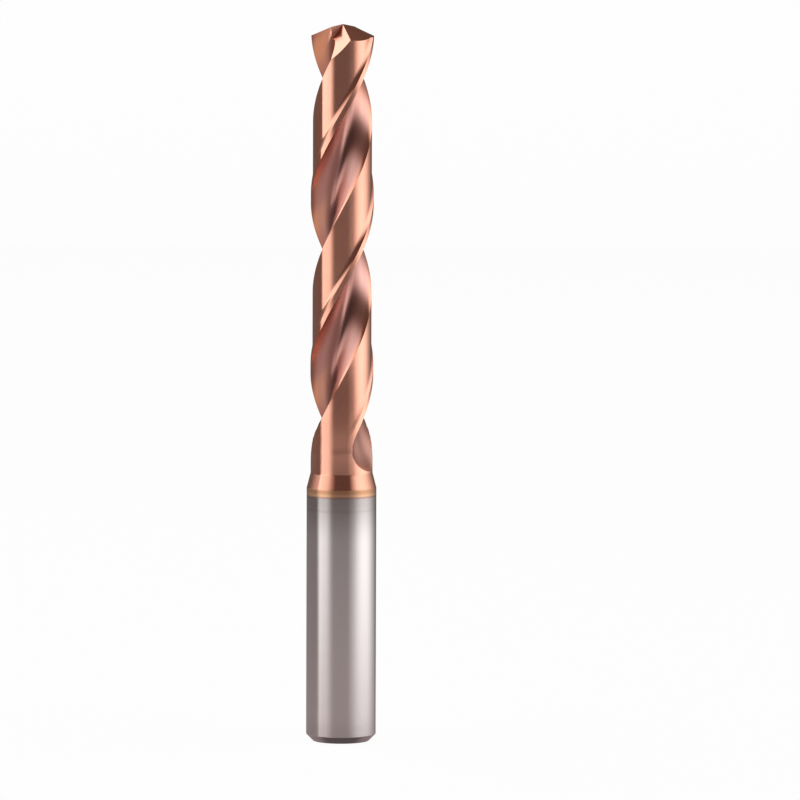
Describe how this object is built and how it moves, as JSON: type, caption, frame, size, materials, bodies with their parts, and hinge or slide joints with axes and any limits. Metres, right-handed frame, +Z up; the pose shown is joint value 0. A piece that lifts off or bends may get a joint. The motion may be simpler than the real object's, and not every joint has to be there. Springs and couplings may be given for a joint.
{
  "type": "twist drill bit",
  "caption": "Solid carbide twist drill with right-hand flutes, a split point with thinned web, a short neck and a thicker plain round shank.",
  "frame": {"origin": "centre of the shank's flat end face", "axes": "+Z up the drill's axis, from the shank end to the tip; the two outer lip corners lie on the X axis"},
  "size_m": [0.01, 0.01, 0.103],
  "materials": {
    "coated_carbide": "ground, with a smooth copper-coloured coating above the shank"
  },
  "bodies": {
    "root": {"drill_bit": "coated_carbide"}
  },
  "joints": []
}
